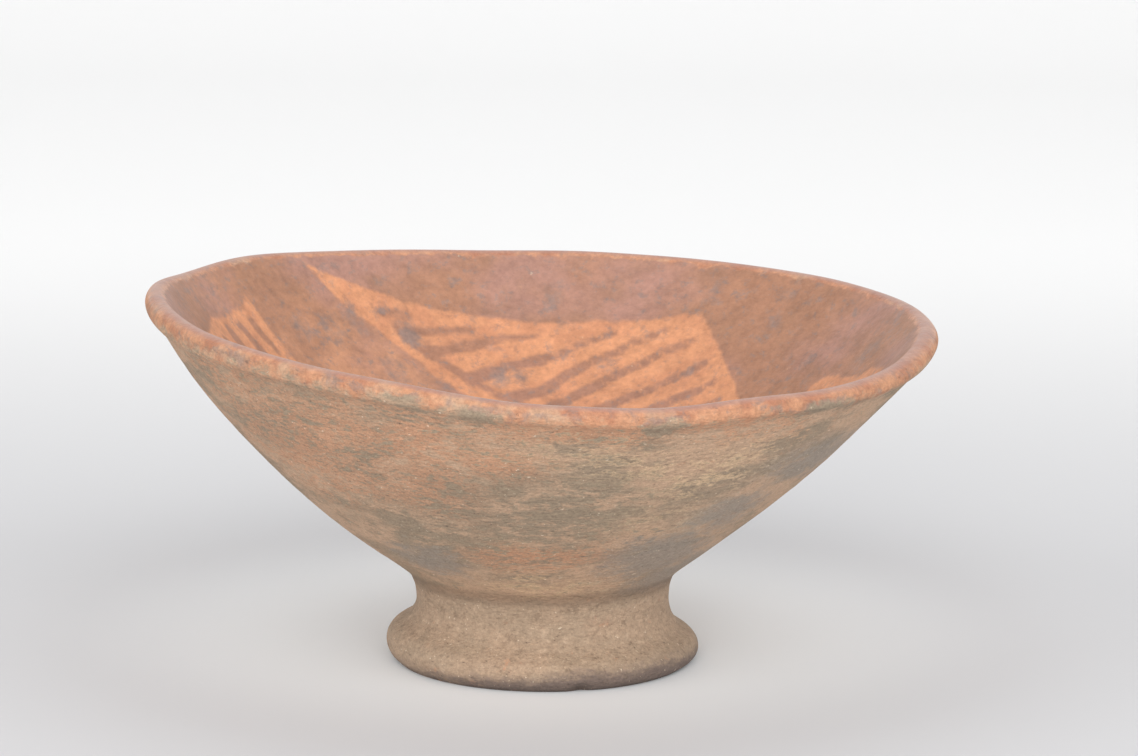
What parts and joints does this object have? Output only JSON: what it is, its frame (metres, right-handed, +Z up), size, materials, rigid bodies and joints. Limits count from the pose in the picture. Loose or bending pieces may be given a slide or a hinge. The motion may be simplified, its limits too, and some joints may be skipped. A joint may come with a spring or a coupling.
{
  "type": "pottery bowl",
  "caption": "Low hand-built bowl of fired clay with a rounded lip, a short hollow pedestal foot and painted stripes inside; stands on its foot.",
  "frame": {"origin": "on the ground, in the middle of the bowl's own box; the foot stands on z = 0", "axes": "+Z up, +X to the right and +Y away as the bowl is seen from its front; the lip is highest on the -X side"},
  "size_m": [0.1894, 0.1904, 0.0901],
  "materials": {
    "fired_clay": "matt, smoothed by hand, worn reddish slip with light orange painting inside"
  },
  "bodies": {
    "root": {"pedestal_bowl": "fired_clay"}
  },
  "joints": []
}
